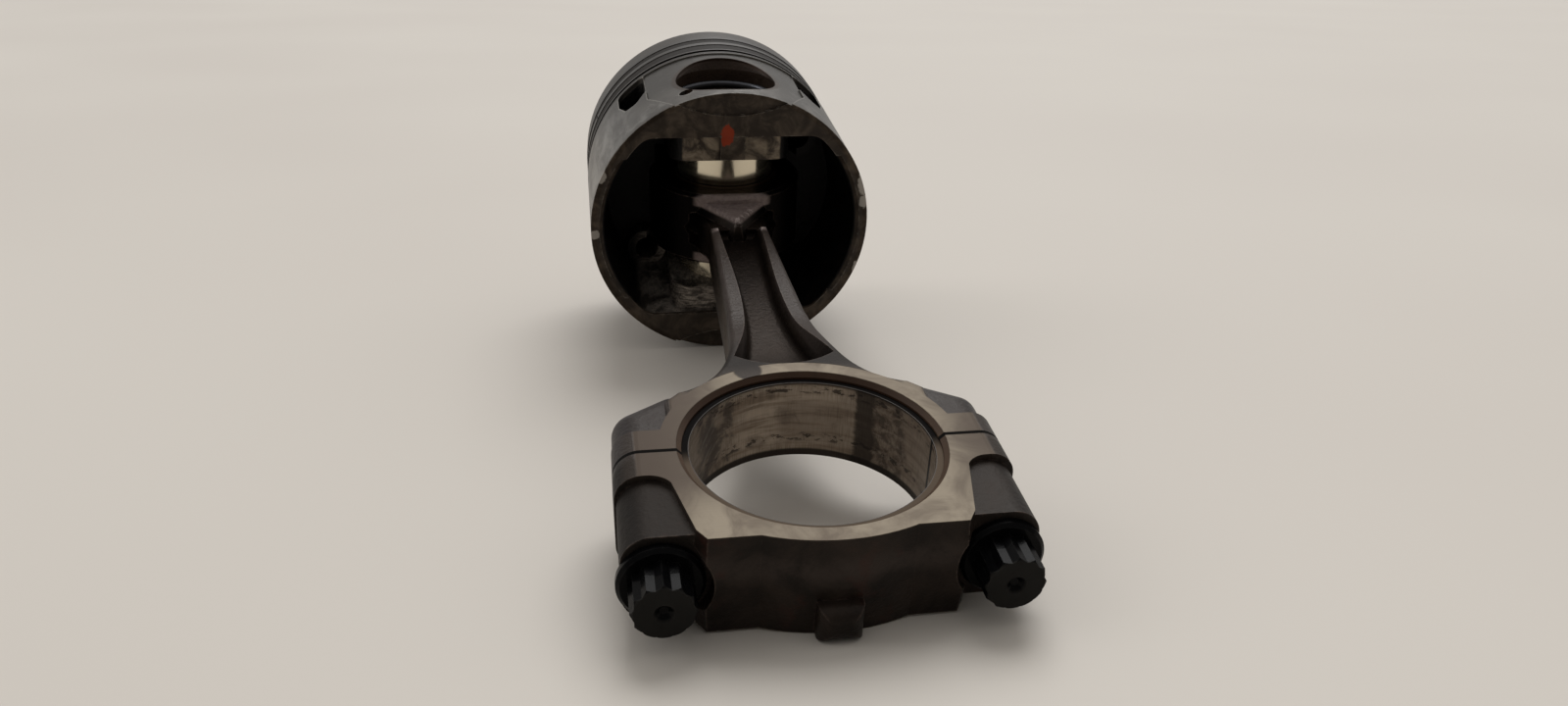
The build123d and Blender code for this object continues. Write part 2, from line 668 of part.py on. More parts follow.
def side_tools():
    """What is taken off one outer side of the piston, round the pin hole."""
    foot = SKIRT_LENGTH + OVERRUN
    field = Polyline(
        (-BOSS_FIELD_HALF_WIDTH, oil_groove_base - POCKET_LAND),
        (BOSS_FIELD_HALF_WIDTH, oil_groove_base - POCKET_LAND),
        (BOSS_FIELD_HALF_WIDTH, -BOSS_FIELD_KNEE),
        (BOSS_FIELD_FOOT, -foot),
        (-BOSS_FIELD_FOOT, -foot),
        (-BOSS_FIELD_HALF_WIDTH, -BOSS_FIELD_KNEE),
        close=True,
    )
    field = extrude(make_face(field), PISTON_RADIUS + OVERRUN)
    tools = field - rod_along_y(PISTON_RADIUS - BOSS_FIELD_RELIEF, -foot, COMPRESSION_HEIGHT)
    floor = wedge(panel_gap() + PANEL_WALL, PANEL_SLOPE, -foot, CAVITY_DEPTH, PISTON_RADIUS + OVERRUN)
    for side in (-1, 1):
        tools += pocket_tool(side) - floor
    slot_radius = RIM_SCALLOP_RADIUS
    slot_z = PISTON_RADIUS - RIM_SCALLOP_WALL + slot_radius
    tools += rod_along_y(slot_radius, -foot, RIM_SCALLOP_DEPTH - SKIRT_LENGTH, z=slot_z)
    notch_reach = pin_hole_radius + NOTCH_OUTSET
    notch_x = notch_reach * cos(radians(NOTCH_ANGLE))
    notch_y = notch_reach * sin(radians(NOTCH_ANGLE))
    notch_floor = clip_z - CLIP_WIRE_RADIUS
    tools += rod_along_z(NOTCH_RADIUS, notch_floor, PISTON_RADIUS + OVERRUN, x=notch_x, y=notch_y)
    return tools


def pocket_tool(side):
    """The cast pocket beside a boss, under the ring belt."""
    top = oil_groove_base - POCKET_LAND
    near = BOSS_FIELD_HALF_WIDTH
    far = near + POCKET_WIDTH
    low = top - POCKET_LENGTH
    outline = Polyline(
        (near, top),
        (near, low + 3 * POCKET_ROUND),
        (near + 2 * POCKET_ROUND, low),
        (far - POCKET_ROUND, low + POCKET_ROUND),
        (far, top - POCKET_LENGTH / 2),
        (far, top),
        close=True,
    )
    face = make_face(outline)
    face = fillet(face.vertices(), POCKET_ROUND)
    pocket = extrude(face, PISTON_RADIUS + OVERRUN)
    return pocket if side > 0 else mirror(pocket, Plane.YZ)


def pin_bore_tool():
    """The bore for the wrist pin, with the clip grooves and the eased mouths."""
    bore = rod_along_z(pin_hole_radius, -PISTON_RADIUS - OVERRUN, PISTON_RADIUS + OVERRUN)
    for side in (-1, 1):
        middle = side * clip_z
        wire = CLIP_WIRE_RADIUS + CLIP_CLEARANCE
        bore += rod_along_z(clip_groove_radius, middle - wire, middle + wire)
        mouth = Cone(pin_hole_radius, pin_hole_radius + PIN_MOUTH_EASE, PIN_MOUTH_DEPTH)
        low = PISTON_RADIUS - PIN_MOUTH_START
        turn = 0 if side > 0 else 180
        bore += Pos(0, 0, side * (low + PIN_MOUTH_DEPTH / 2)) * Rot(X=turn) * mouth
        wide = rod_along_z(pin_hole_radius + PIN_MOUTH_EASE, low + PIN_MOUTH_DEPTH, PISTON_RADIUS + OVERRUN)
        bore += wide if side > 0 else mirror(wide, Plane.XY)
    return bore


def make_piston():
    """The piston, cast with its bosses and gallery and then machined."""
    body = piston_blank() - cavity_tool() - gallery_tool() - bowl_tool()
    tools = side_tools()
    body -= tools
    body -= mirror(tools, Plane.XY)
    body -= pin_bore_tool()
    return Pos(0, ROD_CENTRES, 0) * body


def make_wrist_pin():
    """The hollow pin that floats in the bosses and the bush."""
    pin = rod_along_z(PIN_RADIUS, -PIN_LENGTH / 2, PIN_LENGTH / 2)
    pin -= rod_along_z(PIN_BORE_RADIUS, -PIN_LENGTH, PIN_LENGTH)
    pin = chamfer(pin.edges().filter_by(GeomType.CIRCLE), PIN_CHAMFER)
    return Pos(0, ROD_CENTRES, 0) * pin


def make_circlip(side):
    """A round-wire clip, open at one side, that stops the pin."""
    radius = clip_groove_radius - CLIP_WIRE_RADIUS - CLIP_CLEARANCE
    section = Pos(radius, 0, 0) * (Plane.XZ * Circle(CLIP_WIRE_RADIUS))
    clip = revolve(section, Axis.Z, 360 - CLIP_OPENING)
    start = NOTCH_ANGLE + CLIP_OPENING * 0.2
    return Pos(0, ROD_CENTRES, side * clip_z) * Rot(Z=start) * clip


def split_ring(ring, angle):
    """A ring with its gap cut and turned to an angle about the piston's axis."""
    gap = block(
        (-RING_GAP / 2, RING_GAP / 2),
        (-COMPRESSION_HEIGHT, COMPRESSION_HEIGHT),
        (0, PISTON_RADIUS + OVERRUN),
    )
    return Pos(0, ROD_CENTRES, 0) * Rot(Y=angle) * (ring - gap)


def make_compression_ring(base, groove, angle):
    """A compression ring, centred between the flanks of its groove."""
    low = base + RING_SIDE_CLEARANCE
    high = base + groove - RING_SIDE_CLEARANCE
    ring = rod_along_y(ring_radius, low, high)
    ring -= rod_along_y(ring_radius - RING_WALL, low - OVERRUN, high + OVERRUN)
    return split_ring(ring, angle)


def make_oil_ring(angle):
    """The oil ring: two lips, a drain slot between them and a seat for its spring."""
    low = oil_groove_base + RING_SIDE_CLEARANCE
    high = oil_groove_base + OIL_GROOVE - RING_SIDE_CLEARANCE
    middle = (low + high) / 2
    inner = ring_radius - OIL_RING_WALL
    ring = rod_along_y(ring_radius, low, high)
    ring -= rod_along_y(inner, low - OVERRUN, high + OVERRUN)
    lips = rod_along_y(ring_radius + OVERRUN, middle - OIL_RING_SLOT, middle + OIL_RING_SLOT)
    ring -= lips - rod_along_y(ring_radius - OIL_RING_LIP, low, high)
    seat = Pos(expander_radius, middle, 0) * Circle(EXPANDER_WIRE + EXPANDER_CLEARANCE)
    ring -= revolve(seat, Axis.Y)
    slot = block(
        (-OIL_RING_SLOT_LENGTH / 2, OIL_RING_SLOT_LENGTH / 2),
        (middle - OIL_RING_SLOT / 2, middle + OIL_RING_SLOT / 2),
        (expander_radius - EXPANDER_WIRE, ring_radius + OVERRUN),
    )
    for number in range(OIL_RING_SLOTS):
        ring -= Rot(Y=(number + 0.5) * 360 / OIL_RING_SLOTS) * slot
    return split_ring(ring, angle)


def make_oil_ring_expander(angle):
    """The fine coil spring behind the oil ring, drawn as its round outer shape."""
    middle = oil_groove_base + OIL_GROOVE / 2
    section = Pos(expander_radius, middle, 0) * Circle(EXPANDER_WIRE)
    return split_ring(revolve(section, Axis.Y), angle)


def resting_tilt():
    """The angle, in degrees, that brings the rim and the cap's edge to one level."""
    rim_y = ROD_CENTRES - SKIRT_LENGTH + RIM_SCALLOP_DEPTH
    rim_z = BOSS_FIELD_RELIEF - PISTON_RADIUS
    edge_y = half_big * tan(radians(CAP_DRAFT)) - cap_front
    edge_z = -half_big
    return degrees(atan2(edge_z - rim_z, rim_y - edge_y))


def make_parts():
    """Every sub-part, by name, in the engine's frame."""
    return {
        "connecting_rod": make_connecting_rod(),
        "rod_cap": make_rod_cap(),
        "upper_bearing_shell": make_bearing_shell(1),
        "lower_bearing_shell": make_bearing_shell(-1),
        "rod_bolt_left": make_rod_bolt(-1),
        "rod_bolt_right": make_rod_bolt(1),
        "small_end_bush": make_small_end_bush(),
        "piston": make_piston(),
        "wrist_pin": make_wrist_pin(),
        "circlip_upper": make_circlip(1),
        "circlip_lower": make_circlip(-1),
        "top_ring": make_compression_ring(top_groove_base, TOP_GROOVE, 115),
        "second_ring": make_compression_ring(second_groove_base, SECOND_GROOVE, -65),
        "oil_ring": make_oil_ring(60),
        "oil_ring_expander": make_oil_ring_expander(-120),
    }


def main():
    """Builds the sub-parts, lays them down and writes one file each."""
    os.makedirs("parts", exist_ok=True)
    tilt = resting_tilt()
    print("tilt", round(tilt, 3))
    for name, shape in make_parts().items():
        laid = Rot(X=tilt) * shape
        laid.label = name
        export_step(laid, "parts/" + name + ".step")
        print(name, round(shape.volume, 1))


if __name__ == "__main__":
    main()
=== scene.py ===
# %% [markdown]
# # A piston and its connecting rod
# This lesson dresses a finished engineering model for a photograph: an engine's piston,
# its connecting rod, and the bearing cap that two screws hold. The shapes are already
# exact, so the work here is the camera, the light and above all the surfaces: turned
# aluminium, raw forging, ground faces, a worn bearing lining and oily black screws.

# %% Load the finished model
import json
import math

import bpy
from mathutils import Matrix, Vector


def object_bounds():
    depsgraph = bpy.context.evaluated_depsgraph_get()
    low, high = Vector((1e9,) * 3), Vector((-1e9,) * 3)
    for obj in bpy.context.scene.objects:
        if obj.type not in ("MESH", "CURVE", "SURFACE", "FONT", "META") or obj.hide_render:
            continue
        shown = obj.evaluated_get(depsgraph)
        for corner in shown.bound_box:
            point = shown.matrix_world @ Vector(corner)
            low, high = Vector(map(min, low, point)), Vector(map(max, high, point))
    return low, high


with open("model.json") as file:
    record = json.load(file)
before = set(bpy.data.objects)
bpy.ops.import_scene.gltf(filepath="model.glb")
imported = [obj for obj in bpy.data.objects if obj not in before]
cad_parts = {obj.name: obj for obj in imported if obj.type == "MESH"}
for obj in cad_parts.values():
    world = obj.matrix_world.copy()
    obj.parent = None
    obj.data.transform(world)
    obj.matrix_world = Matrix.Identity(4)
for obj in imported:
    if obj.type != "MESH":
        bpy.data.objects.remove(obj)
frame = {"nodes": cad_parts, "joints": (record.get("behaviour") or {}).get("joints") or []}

MM = 1000.0  # millimetres in a metre
model_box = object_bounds()
bench_level = model_box[0][2]
nodes = frame["nodes"]
print("pieces:", ", ".join(sorted(nodes)))

# %% [markdown]
# The assembly lies on the bench, so the engine's own axes are tipped. Most finishes are
# easier to place in the engine's axes, where the crank axis is straight up and the rod
# runs along one axis. The tilt can be read from the joint that the record states.

# %% The engine's axes
joints = {joint["name"]: joint for joint in frame["joints"]}
crank_axis = Vector(joints["piston_swing"]["axis"])
pin_centre = Vector(joints["piston_swing"]["pos_m"])
tilt = math.atan2(-crank_axis.y, crank_axis.z)
print("tilt in degrees:", round(math.degrees(tilt), 2))
print("centres in mm:", round(pin_centre.length * MM, 1))

# %% [markdown]
# The camera stands low in front of the big end and looks down the rod. A wide lens close
# to the part gives the strong perspective of the picture: the big end looks large and the
# piston small. The numbers were fitted to edges that are round on the real part and to
# the centres of the screw heads.

# %% The camera
camera_data = bpy.data.cameras.new("camera")
camera_data.lens = 26.95
camera_data.sensor_width = 36.0
camera = bpy.data.objects.new("camera", camera_data)
camera.location = (-0.041439, -0.205887, 0.102781)
camera.rotation_euler = [math.radians(angle) for angle in (70.3554, -0.6279, -9.6634)]
bpy.context.scene.collection.objects.link(camera)
bpy.context.scene.camera = camera
camera_height = camera.location.z - bench_level
print("camera height above the bench in mm:", round(camera_height * MM, 1))

# %% [markdown]
# Materials are graphs of small nodes. A few short helpers keep the graphs readable: one
# fills a node's inputs, where a value may be a number, a colour or another node's output,
# one adds a node, and one turns everyday colour values into the linear ones that Blender
# expects.

# %% Helpers: colours and nodes
def linear(red, green, blue):
    """A screen colour, 0 to 255 a channel, as linear light by the standard curve."""
    channels = []
    for value in (red, green, blue):
        share = value / 255
        channels.append(share / 12.92 if share < 0.04045 else ((share + 0.055) / 1.055) ** 2.4)
    return (*channels, 1.0)


def grey(value):
    """One number as a colour, for where a plain value is blended with a pattern."""
    return (value, value, value, 1.0)


def fill(tree, node, **inputs):
    """Sets or links a node's inputs by name; _2 picks the input at place 2."""
    for name, value in inputs.items():
        socket = node.inputs[int(name[1:]) if name[0] == "_" else name.replace("_", " ")]
        if isinstance(value, bpy.types.NodeSocket):
            tree.links.new(value, socket)
        else:
            socket.default_value = value


def add(tree, kind, settings=None, **inputs):
    """Adds one node of a kind, with its settings and its inputs."""
    made = tree.nodes.new("ShaderNode" + kind)
    for name, value in (settings or {}).items():
        setattr(made, name, value)
    fill(tree, made, **inputs)
    return made


print("colour and node helpers ready")

# %% [markdown]
# A finish is chosen by masks: numbers from 0 to 1 that say where it lies. A mask starts as
# a measure, such as a height or a distance from an axis. A soft step turns it into 0 or 1,
# and masks multiply where both must hold.

# %% Helpers: masks
def maths(tree, operation, first, second=0.0):
    """One sum, such as a product or a distance."""
    return add(tree, "Math", {"operation": operation}, _0=first, _1=second).outputs[0]


def rise(tree, value, low, high):
    """0 below low, 1 above high, with a soft step between."""
    smooth = {"interpolation_type": "SMOOTHSTEP"}
    return add(tree, "MapRange", smooth, Value=value, From_Min=low, From_Max=high).outputs["Result"]


def opposite(tree, mask):
    """1 where a mask is 0, and 0 where it is 1."""
    return maths(tree, "SUBTRACT", 1.0, mask)


def below(tree, value, low, high):
    """1 below low, 0 above high."""
    return opposite(tree, rise(tree, value, low, high))


def between(tree, value, low, high, soft):
    """1 where a value lies between two limits, with steps that reach soft to each side."""
    first_step = rise(tree, value, low - soft, low + soft)
    return maths(tree, "SUBTRACT", first_step, rise(tree, value, high - soft, high + soft))


def where_all(tree, *masks):
    """1 where every mask is 1. A plain number among them makes the result weaker."""
    product = masks[0]
    for mask in masks[1:]:
        product = maths(tree, "MULTIPLY", product, mask)
    return product


def number_range(tree, value, low, high):
    """A pattern from 0 to 1, stretched to run from low to high."""
    return add(tree, "MapRange", Value=value, To_Min=low, To_Max=high).outputs["Result"]


def radius(tree, first, second):
    """The distance from an axis, from the two coordinates across it."""
    squares = [maths(tree, "MULTIPLY", side, side) for side in (first, second)]
    return maths(tree, "SQRT", maths(tree, "ADD", *squares))


print("mask helpers ready")

# %% [markdown]
# Colours are built in layers, as a painter does: a base of two tones, then thinner layers
# over it, each held to its place by masks.

# %% Helpers: layers of colour
def blend(tree, share, first, second):
    """Two colours mixed by a share."""
    return add(tree, "Mix", {"data_type": "RGBA"}, _0=share, _6=first, _7=second).outputs[2]


def two_tone(tree, pattern, dark, light):
    """A pattern from 0 to 1 as a run from a darker to a lighter screen colour."""
    return blend(tree, pattern, linear(*dark), linear(*light))


def lay(tree, under, over, *masks):
    """A screen colour, or a pattern of colours, laid over another where all masks are 1."""
    colour = over if isinstance(over, bpy.types.NodeSocket) else linear(*over)
    return blend(tree, where_all(tree, *masks), under, colour)


print("layer helpers ready")

# %% [markdown]
# Stains, grain and scratches come from noise. The noise is read at each point's place in
# millimetres, so its scale is a real size, and stretching the place turns cloudy patches
# into fine lines, such as those that a lathe or a grinder leaves.

# %% Helpers: patterns
def noise(tree, place, scale, detail, roughness, distortion=0.0):
    """A cloudy pattern from 0 to 1; scale is patches in a millimetre."""
    shape = {"Detail": detail, "Roughness": roughness, "Distortion": distortion}
    return add(tree, "TexNoise", Vector=place, Scale=scale, **shape).outputs["Fac"]


def stretched(tree, across, along=0.0, third=0.0):
    """A place made of separate measures, for a pattern that runs one way."""
    return add(tree, "CombineXYZ", _0=across, _1=along, _2=third).outputs[0]


def drawn_out(tree, *measures, detail=4.0, roughness=0.6, distortion=0.0):
    """A pattern drawn out one way; each measure comes with its own scale."""
    scaled = [maths(tree, "MULTIPLY", value, scale) for value, scale in measures]
    return noise(tree, stretched(tree, *scaled), 1.0, detail, roughness, distortion)


def spot(tree, place, centre, size, ragged):
    """1 inside an ellipsoid, with an edge that a cloudy pattern makes ragged."""
    share = place
    for operation, value in (("SUBTRACT", centre), ("DIVIDE", size)):
        step = add(tree, "VectorMath", {"operation": operation}, _0=share, _1=value)
        share = step.outputs["Vector"]
    length = add(tree, "VectorMath", {"operation": "LENGTH"}, _0=share).outputs["Value"]
    return below(tree, maths(tree, "ADD", length, ragged), 0.9, 1.15)


print("pattern helpers ready")

# %% [markdown]
# Handling rubs edges bright, and oil gathers in corners. A bevel node gives the surface's
# direction as if the edges were rounded: where that differs from the true direction, an
# edge is near. How much of the sky a point would see tells how deep in a corner it lies.

# %% Helpers: edges and corners
def near_edges(tree, width):
    """1 along edges, in a band of about this width in millimetres."""
    rounded = add(tree, "Bevel", {"samples": 4}, Radius=width / MM).outputs["Normal"]
    true_normal = add(tree, "NewGeometry").outputs["Normal"]
    dot_product = {"operation": "DOT_PRODUCT"}
    agreement = add(tree, "VectorMath", dot_product, _0=rounded, _1=true_normal).outputs["Value"]
    return below(tree, agreement, 0.90, 0.99)


def in_corners(tree, reach):
    """1 deep in a closed corner, 0 in the open."""
    settings = {"samples": 6, "only_local": True}
    openness = add(tree, "AmbientOcclusion", settings, Distance=reach / MM).outputs["AO"]
    return below(tree, openness, 0.30, 0.75)


print("edge helpers ready")

# %% [markdown]
# Every finish starts in the same way: a surface shader, and the place of each point in
# millimetres in the engine's axes. The object's own coordinates are used for that, since
# they stay with the piece when the piston swings.

# %% Helpers: start a finish, give it relief, put it on
def start(name, centre=(0.0, 0.0, 0.0)):
    """A new material with its tree, shader, and place in millimetres round a centre."""
    made = bpy.data.materials.new(name)
    made.use_nodes = True
    tree = made.node_tree
    back = Matrix.Rotation(-tilt, 4, "X") @ Vector(centre)
    turned = add(
        tree, "Mapping", Vector=add(tree, "TexCoord").outputs["Object"],
        Rotation=(-tilt, 0.0, 0.0), Scale=(MM, MM, MM), Location=back * -MM,
    )
    place = turned.outputs["Vector"]
    axes = add(tree, "SeparateXYZ", Vector=place).outputs
    return made, tree, tree.nodes["Principled BSDF"], place, axes


def relief(tree, shader, height, depth):
    """Small bumps on the surface; depth is in millimetres."""
    made = add(tree, "Bump", Height=height, Strength=1.0, Distance=depth / MM)
    fill(tree, shader, Normal=made.outputs["Normal"])


def put_on(names, material):
    """Puts a finish on pieces of the model."""
    for name in names:
        piece = nodes[name]
        piece.data.materials.clear()
        piece.data.materials.append(material)
    print(material.name, "on", ", ".join(names))


print("finish helpers ready")

# %% [markdown]
# ## The piston
# The outside was turned on a lathe, so it carries fine rings and a satin shine. The rim has
# gone brown with oil, and the hollow is a raw casting, nearly black with oil and painted
# shade, and wet. One material serves the whole casting: masks made from the place of each
# point choose the finish.
# Levels run along the piston's axis and radii round it, both in millimetres from the pin.

# %% Piston: where each finish lies
RIM_LEVEL = -18.2
BELT_LEVEL = 18.8
TOP_LAND_LEVEL = 36.6
SKIRT_RADIUS = 38.9
GROOVE_FLOOR_RADIUS = 33.0
PIN_HOLE_RADIUS = 15.7
PIN_HOLE_START = 24.0  # along the pin, on both sides of the middle
piston, tree, shader, place, (x, y, z) = start("turned and cast aluminium", pin_centre)
barrel = radius(tree, x, z)
outside = rise(tree, barrel, SKIRT_RADIUS - 0.5, SKIRT_RADIUS)
belt = rise(tree, y, BELT_LEVEL, BELT_LEVEL + 0.8)
top_land = rise(tree, y, TOP_LAND_LEVEL, TOP_LAND_LEVEL + 0.8)
groove = where_all(
    tree, between(tree, barrel, GROOVE_FLOOR_RADIUS, SKIRT_RADIUS, 0.3),
    rise(tree, y, BELT_LEVEL, BELT_LEVEL + 0.6),
)
rim = below(tree, y, RIM_LEVEL - 0.3, RIM_LEVEL)
pin_hole = where_all(
    tree, rise(tree, maths(tree, "ABSOLUTE", z), PIN_HOLE_START, PIN_HOLE_START + 1.0),
    below(tree, radius(tree, x, y), PIN_HOLE_RADIUS - 0.3, PIN_HOLE_RADIUS),
)
bare_edge = near_edges(tree, 0.5)
print("piston masks ready")

# %% [markdown]
# Turning leaves rings round the skirt, and running leaves faint scuffs along the stroke.
# Both are noise read in stretched places: the rings change only along the axis, and the
# scuffs only round it. The top of the skirt carries painted shade, and the belt between
# the ring grooves is darker still, with burnt oil. The left side is rubbed lighter.

# %% Piston: the turned outside
SATIN_DARK, SATIN_LIGHT = (54, 51, 48), (90, 87, 83)
DRY_SMEAR, RING_SHADE, SCUFF = (136, 134, 130), (48, 45, 42), (46, 43, 40)
UPPER_PAINTED_SHADE, TOP_LAND, RUBBED, BARE = (44, 41, 38), (70, 66, 62), (150, 148, 144), (176, 172, 165)
turn = maths(tree, "ARCTAN2", x, z)
rings = drawn_out(tree, (y, 4.0), detail=3.0, roughness=0.7)
scuffs = drawn_out(tree, (turn, 55.0), (y, 0.05))
rub_marks = drawn_out(tree, (turn, 9.0), (y, 0.05), detail=6.0, roughness=0.65, distortion=0.4)
haze = noise(tree, place, 0.045, 5.0, 0.62)
smears = noise(tree, place, 0.16, 6.0, 0.66, 0.6)
burnt = two_tone(tree, smears, (14, 12, 10), (40, 34, 30))
# painted shade: the top of the skirt is darkened
upper_painted_shade = where_all(tree, rise(tree, z, 14.0, 26.0), rise(tree, y, -14.0, 2.0), 0.75)
rubbed_side = where_all(
    tree, below(tree, x, -38.0, -22.0), below(tree, y, 4.0, 16.0),
    rise(tree, rub_marks, 0.34, 0.70), 0.70,
)
turned = two_tone(tree, rise(tree, haze, 0.35, 0.65), SATIN_DARK, SATIN_LIGHT)
turned = lay(tree, turned, DRY_SMEAR, rise(tree, smears, 0.50, 0.68), 0.5)
turned = lay(tree, turned, RING_SHADE, rise(tree, rings, 0.42, 0.72), 0.30)
turned = lay(tree, turned, SCUFF, rise(tree, scuffs, 0.58, 0.72), 0.35)
turned = lay(tree, turned, UPPER_PAINTED_SHADE, upper_painted_shade)
turned = lay(tree, turned, burnt, belt, 0.92)
turned = lay(tree, turned, TOP_LAND, top_land, 0.6)
turned = lay(tree, turned, RUBBED, rubbed_side)
turned = lay(tree, turned, BARE, bare_edge, number_range(tree, belt, 0.45, 0.14))
print("turned finish ready")

# %% [markdown]
# The rim is smooth but brown, with a few bare spots where it was knocked. Each spot has a
# place on the rim and a length. Fine cloudy noise makes the outline of every spot ragged.

# %% Piston: the rim
RIM_BARE, KNOCK = (150, 143, 134), (158, 153, 146)
KNOCKS = (  # x and z on the rim, and the length of the spot
    (-36.6, 17.4, 2.6), (-39.0, -1.0, 1.4), (37.8, 13.0, 3.2), (38.6, 7.0, 1.8), (38.0, -14.0, 2.4),
)
fine_cloud = noise(tree, place, 0.6, 5.0, 0.6)
ragged = maths(tree, "MULTIPLY", maths(tree, "SUBTRACT", fine_cloud, 0.5), 1.6)
rim_colour = two_tone(tree, rise(tree, smears, 0.40, 0.70), (46, 39, 33), (80, 70, 60))
rim_colour = lay(tree, rim_colour, RIM_BARE, bare_edge, rise(tree, fine_cloud, 0.45, 0.65), 0.6)
for knock_x, knock_z, length in KNOCKS:
    knock = spot(tree, place, (knock_x, RIM_LEVEL - 1.0, knock_z), (1.3, 2.0, length), ragged)
    rim_colour = lay(tree, rim_colour, KNOCK, knock, 0.8)
print("rim ready, with", len(KNOCKS), "knocks")

# %% [markdown]
# The hollow keeps the grain of its mould under a film of black oil, darkened further by
# painted shade, and low on one side a wet patch carries a painted sheen of light streaks.
# The undersides of the two pin bosses are machined and still show beige, with a darker
# tongue in the middle.

# %% Piston: the hollow and its bosses
BOSS_LEVELS = (-17.6, -16.2)
TONGUE_HALF = 3.6
TONGUE = (46, 38, 32)
underside = where_all(
    tree, between(tree, y, *BOSS_LEVELS, 0.2),
    below(tree, maths(tree, "ABSOLUTE", x), 16.9, 17.3), rise(tree, z, 0.0, 1.0),
)
wet_and_sheen = where_all(
    tree, below(tree, z, -14.0, -10.0), between(tree, x, -25.0, -1.0, 2.5),
    below(tree, barrel, 37.0, 38.0), rise(tree, y, -19.0, -18.0), below(tree, y, 4.0, 16.0),
)
sheen_streaks = drawn_out(tree, (x, 0.25), (y, 0.08), (z, 1.0), distortion=0.8)
# painted sheen: light streaks on the wet patch stand in for its shine
painted_sheen_colour = two_tone(tree, rise(tree, sheen_streaks, 0.36, 0.72), (66, 61, 56), (158, 149, 140))
boss_colour = two_tone(tree, rise(tree, smears, 0.38, 0.66), (54, 46, 39), (138, 125, 108))
boss_colour = lay(tree, boss_colour, TONGUE, between(tree, x, -TONGUE_HALF, TONGUE_HALF, 0.5))
# black oil and painted shade: the hollow's colour is kept near black
cast = two_tone(tree, rise(tree, smears, 0.35, 0.75), (4, 4, 4), (17, 14, 13))
cast = lay(tree, cast, boss_colour, underside)
cast = lay(tree, cast, painted_sheen_colour, wet_and_sheen)
print("hollow ready")

# %% [markdown]
# The crown isn't seen in the picture, but a used one is never clean. Soot lies on it in
# soft patches, and fans out of the bowl in faint rays where the fuel sprays burned. The
# rays are noise read round the axis, strongest at the bowl's lip and fading outward.

# %% Piston: the sooty crown
CROWN_LEVEL = 43.4
RAY, ASH, CROWN_LINE = (22, 19, 17), (112, 103, 92), (16, 14, 13)
crown_side = where_all(
    tree, rise(tree, barrel, 38.0, 38.4), below(tree, y, CROWN_LEVEL, CROWN_LEVEL + 0.2),
)
crown = where_all(
    tree, rise(tree, y, 24.0, 26.0), below(tree, barrel, 39.3, 39.7), opposite(tree, crown_side),
)
rays = drawn_out(tree, (turn, 2.6), (barrel, 0.03))
ray_share = where_all(tree, rise(tree, rays, 0.44, 0.60), below(tree, barrel, 19.0, 36.0), 0.7)
crown_lines = drawn_out(tree, (barrel, 3.0), detail=3.0, roughness=0.7)
soot = two_tone(tree, rise(tree, smears, 0.36, 0.66), (30, 26, 23), (78, 71, 63))
soot = lay(tree, soot, RAY, ray_share)
soot = lay(tree, soot, ASH, rise(tree, haze, 0.52, 0.66), 0.5)
soot = lay(tree, soot, CROWN_LINE, rise(tree, crown_lines, 0.5, 0.75), 0.25)
print("crown ready")

# %% [markdown]
# The finishes are now laid over each other, from the hollow outward. The floors of the
# ring grooves are black, the pin hole is brown, and one boss carries a dab of orange
# marking paint.

# %% Piston: join the colours
GROOVE_BLACK, PAINT = (14, 12, 11), (140, 48, 20)
under_crown = below(tree, y, CROWN_LEVEL - 1.4, CROWN_LEVEL - 1.0)
paint = spot(tree, place, (-1.6, -17.4, 27.6), (1.7, 6.0, 3.2), ragged)
base = lay(tree, cast, turned, outside)
base = lay(tree, base, soot, crown)
base = lay(tree, base, GROOVE_BLACK, groove, under_crown)
base = lay(tree, base, rim_colour, rim)
base = lay(tree, base, two_tone(tree, smears, (26, 19, 15), (66, 52, 43)), pin_hole)
base = lay(tree, base, PAINT, paint, 0.85)
print("piston colours joined")

# %% [markdown]
# Shine follows the same masks. The clean skirt counts mostly as metal, and the wet patch
# inside in part, under a glossy film of oil. The burnt belt and the sooty crown are dull.

# %% Piston: shine and relief
roughness = blend(
    tree, wet_and_sheen, number_range(tree, smears, 0.30, 0.60), number_range(tree, fine_cloud, 0.12, 0.46),
)
roughness = blend(tree, outside, roughness, number_range(tree, haze, 0.28, 0.44))
roughness = blend(tree, paint, roughness, grey(0.6))
burnt_belt = where_all(tree, belt, opposite(tree, top_land))
roughness = blend(tree, burnt_belt, roughness, number_range(tree, smears, 0.55, 0.75))
roughness = blend(tree, crown, roughness, number_range(tree, smears, 0.55, 0.85))
metal = where_all(
    tree, outside, opposite(tree, groove), opposite(tree, crown),
    number_range(tree, belt, 0.60, 0.05), number_range(tree, upper_painted_shade, 1.0, 0.55),
)
metal = maths(tree, "ADD", metal, where_all(tree, wet_and_sheen, 0.55))
fill(tree, shader, Base_Color=base, Roughness=roughness, Metallic=metal, Specular_IOR_Level=0.16)
mould_grain = noise(tree, place, 1.4, 3.0, 0.6)
casting_grain = where_all(tree, mould_grain, opposite(tree, outside), opposite(tree, rim))
lathe_rings = where_all(tree, rings, outside, 0.12)
relief(tree, shader, maths(tree, "ADD", casting_grain, lathe_rings), 0.22)
put_on(["piston"], piston)

# %% [markdown]
# ## The forgings
# The rod and its cap are forged steel: a dark, slightly grainy skin from the hammer dies,
# and beige faces where a grinder has passed. The ground faces lie at one height each side
# of the rod's middle plane, so the height tells ground from forged, apart from the root of
# the shank and one low spot that the grinder missed. All places are in millimetres from
# the centre of the big end, with y running along the rod.

